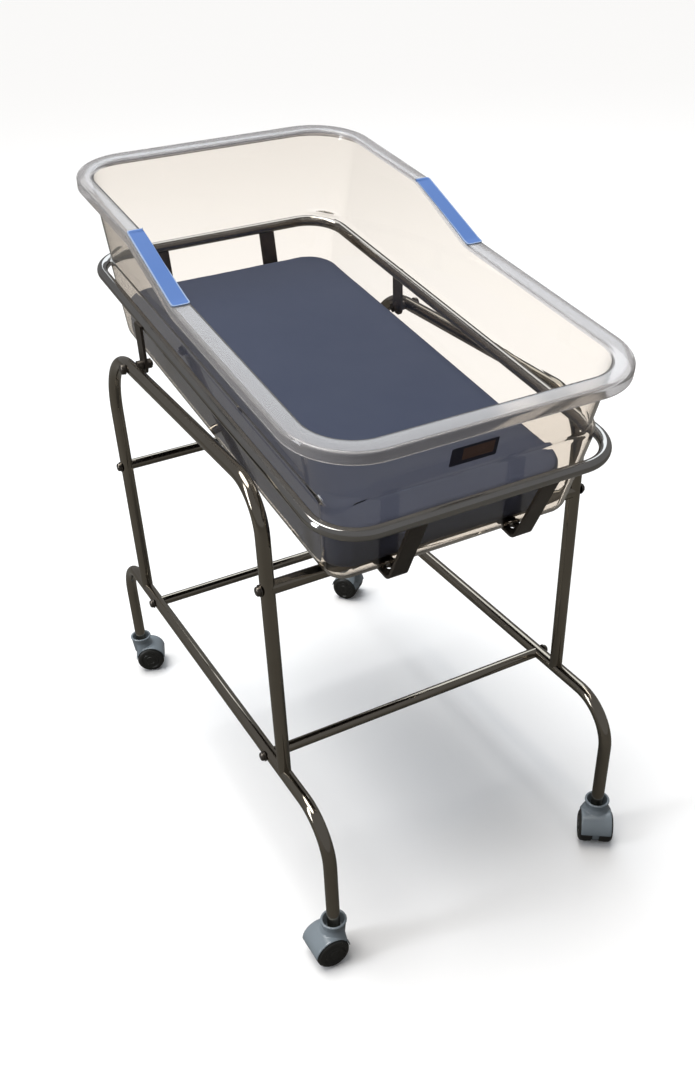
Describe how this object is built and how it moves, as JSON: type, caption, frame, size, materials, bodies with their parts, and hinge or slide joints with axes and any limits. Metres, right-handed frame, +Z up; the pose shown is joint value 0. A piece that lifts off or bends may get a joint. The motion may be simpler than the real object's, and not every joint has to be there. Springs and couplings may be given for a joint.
{
  "type": "hospital bassinet",
  "caption": "Wheeled hospital bassinet: clear plastic tub with a mattress in a tilted ring cradle, on a bolted frame of round steel tube.",
  "frame": {"origin": "on the floor, midway between the four feet", "axes": "+Z up, +Y towards the infant's head, the raised end, +X to the right when looking towards the head"},
  "size_m": [0.5339, 0.8817, 0.9225],
  "materials": {
    "bright_steel_tube": "bright nickel-chrome plating",
    "zinc_hardware": "zinc plated",
    "black_plastic": "moulded",
    "black_rubber": "moulded",
    "clear_acrylic": "clear moulded acrylic",
    "blue_grip": "smooth strip with a pale edge",
    "label_ink": null,
    "mattress_cover": "coated slate-blue cloth",
    "caster_hood": "glossy grey moulding",
    "wheel_plastic": "black moulding"
  },
  "bodies": {
    "stand": {"side_frame_left": "bright_steel_tube", "side_frame_right": "bright_steel_tube", "base_rail_left": "bright_steel_tube", "base_rail_right": "bright_steel_tube", "crossbar_lower_front": "bright_steel_tube", "crossbar_lower_rear": "bright_steel_tube", "crossbar_upper_front": "bright_steel_tube", "crossbar_upper_rear": "bright_steel_tube", "crossbar_bolts": "zinc_hardware", "crossbar_washers": "zinc_hardware", "crossbar_plugs": "black_plastic", "pivot_bolts": "zinc_hardware", "pivot_washers": "zinc_hardware", "pivot_spacers": "zinc_hardware", "pivot_nuts": "zinc_hardware", "front_rest_pads": "black_rubber", "caster_stem_front_left": "zinc_hardware", "caster_stem_front_right": "zinc_hardware", "caster_stem_rear_left": "zinc_hardware", "caster_stem_rear_right": "zinc_hardware"},
    "cradle": {"cradle_ring": "bright_steel_tube", "cradle_strap_left": "bright_steel_tube", "cradle_strap_right": "bright_steel_tube", "pivot_lug_left": "bright_steel_tube", "pivot_lug_right": "bright_steel_tube"},
    "tub": {"tub": "clear_acrylic", "grip_pad_left": "blue_grip", "grip_pad_right": "blue_grip", "label_patch": "label_ink"},
    "mattress": {"mattress": "mattress_cover"},
    "caster_front_left": {"caster_hood_front_left": "caster_hood", "caster_axle_front_left": "zinc_hardware"},
    "wheel_front_left_inner": {"wheel_front_left_inner": "wheel_plastic"},
    "wheel_front_left_outer": {"wheel_front_left_outer": "wheel_plastic"},
    "caster_front_right": {"caster_hood_front_right": "caster_hood", "caster_axle_front_right": "zinc_hardware"},
    "wheel_front_right_inner": {"wheel_front_right_inner": "wheel_plastic"},
    "wheel_front_right_outer": {"wheel_front_right_outer": "wheel_plastic"},
    "caster_rear_left": {"caster_hood_rear_left": "caster_hood", "caster_axle_rear_left": "zinc_hardware"},
    "wheel_rear_left_inner": {"wheel_rear_left_inner": "wheel_plastic"},
    "wheel_rear_left_outer": {"wheel_rear_left_outer": "wheel_plastic"},
    "caster_rear_right": {"caster_hood_rear_right": "caster_hood", "caster_axle_rear_right": "zinc_hardware"},
    "wheel_rear_right_inner": {"wheel_rear_right_inner": "wheel_plastic"},
    "wheel_rear_right_outer": {"wheel_rear_right_outer": "wheel_plastic"}
  },
  "joints": [
    {"name": "cradle_tilt", "type": "hinge", "parent": "stand", "child": "cradle", "pos_m": [0, 0.169, 0.684], "axis": [1, 0, 0], "range_deg": [-16, 0]},
    {"name": "tub_lift", "type": "slide", "parent": "cradle", "child": "tub", "axis": [0, -0.1374, 0.9905], "range_m": [0, 0.25]},
    {"name": "mattress_lift", "type": "slide", "parent": "tub", "child": "mattress", "axis": [0, -0.1374, 0.9905], "range_m": [0, 0.2]},
    {"name": "swivel_front_left", "type": "hinge", "parent": "stand", "child": "caster_front_left", "pos_m": [-0.2329, -0.394, 0.05], "axis": [0, 0, 1], "continuous": true},
    {"name": "roll_front_left_inner", "type": "hinge", "parent": "caster_front_left", "child": "wheel_front_left_inner", "pos_m": [-0.2464, -0.394, 0.025], "axis": [0, -1, 0], "continuous": true},
    {"name": "roll_front_left_outer", "type": "hinge", "parent": "caster_front_left", "child": "wheel_front_left_outer", "pos_m": [-0.2464, -0.394, 0.025], "axis": [0, -1, 0], "continuous": true},
    {"name": "swivel_front_right", "type": "hinge", "parent": "stand", "child": "caster_front_right", "pos_m": [0.2329, -0.394, 0.05], "axis": [0, 0, 1], "continuous": true},
    {"name": "roll_front_right_inner", "type": "hinge", "parent": "caster_front_right", "child": "wheel_front_right_inner", "pos_m": [0.22516, -0.40506, 0.025], "axis": [0.8192, -0.5736, 0], "continuous": true},
    {"name": "roll_front_right_outer", "type": "hinge", "parent": "caster_front_right", "child": "wheel_front_right_outer", "pos_m": [0.22516, -0.40506, 0.025], "axis": [0.8192, -0.5736, 0], "continuous": true},
    {"name": "swivel_rear_left", "type": "hinge", "parent": "stand", "child": "caster_rear_left", "pos_m": [-0.2329, 0.394, 0.05], "axis": [0, 0, 1], "continuous": true},
    {"name": "roll_rear_left_inner", "type": "hinge", "parent": "caster_rear_left", "child": "wheel_rear_left_inner", "pos_m": [-0.22021, 0.38938, 0.025], "axis": [0.342, 0.9397, 0], "continuous": true},
    {"name": "roll_rear_left_outer", "type": "hinge", "parent": "caster_rear_left", "child": "wheel_rear_left_outer", "pos_m": [-0.22021, 0.38938, 0.025], "axis": [0.342, 0.9397, 0], "continuous": true},
    {"name": "swivel_rear_right", "type": "hinge", "parent": "stand", "child": "caster_rear_right", "pos_m": [0.2329, 0.394, 0.05], "axis": [0, 0, 1], "continuous": true},
    {"name": "roll_rear_right_inner", "type": "hinge", "parent": "caster_rear_right", "child": "wheel_rear_right_inner", "pos_m": [0.22422, 0.40434, 0.025], "axis": [-0.766, -0.6428, 0], "continuous": true},
    {"name": "roll_rear_right_outer", "type": "hinge", "parent": "caster_rear_right", "child": "wheel_rear_right_outer", "pos_m": [0.22422, 0.40434, 0.025], "axis": [-0.766, -0.6428, 0], "continuous": true}
  ]
}
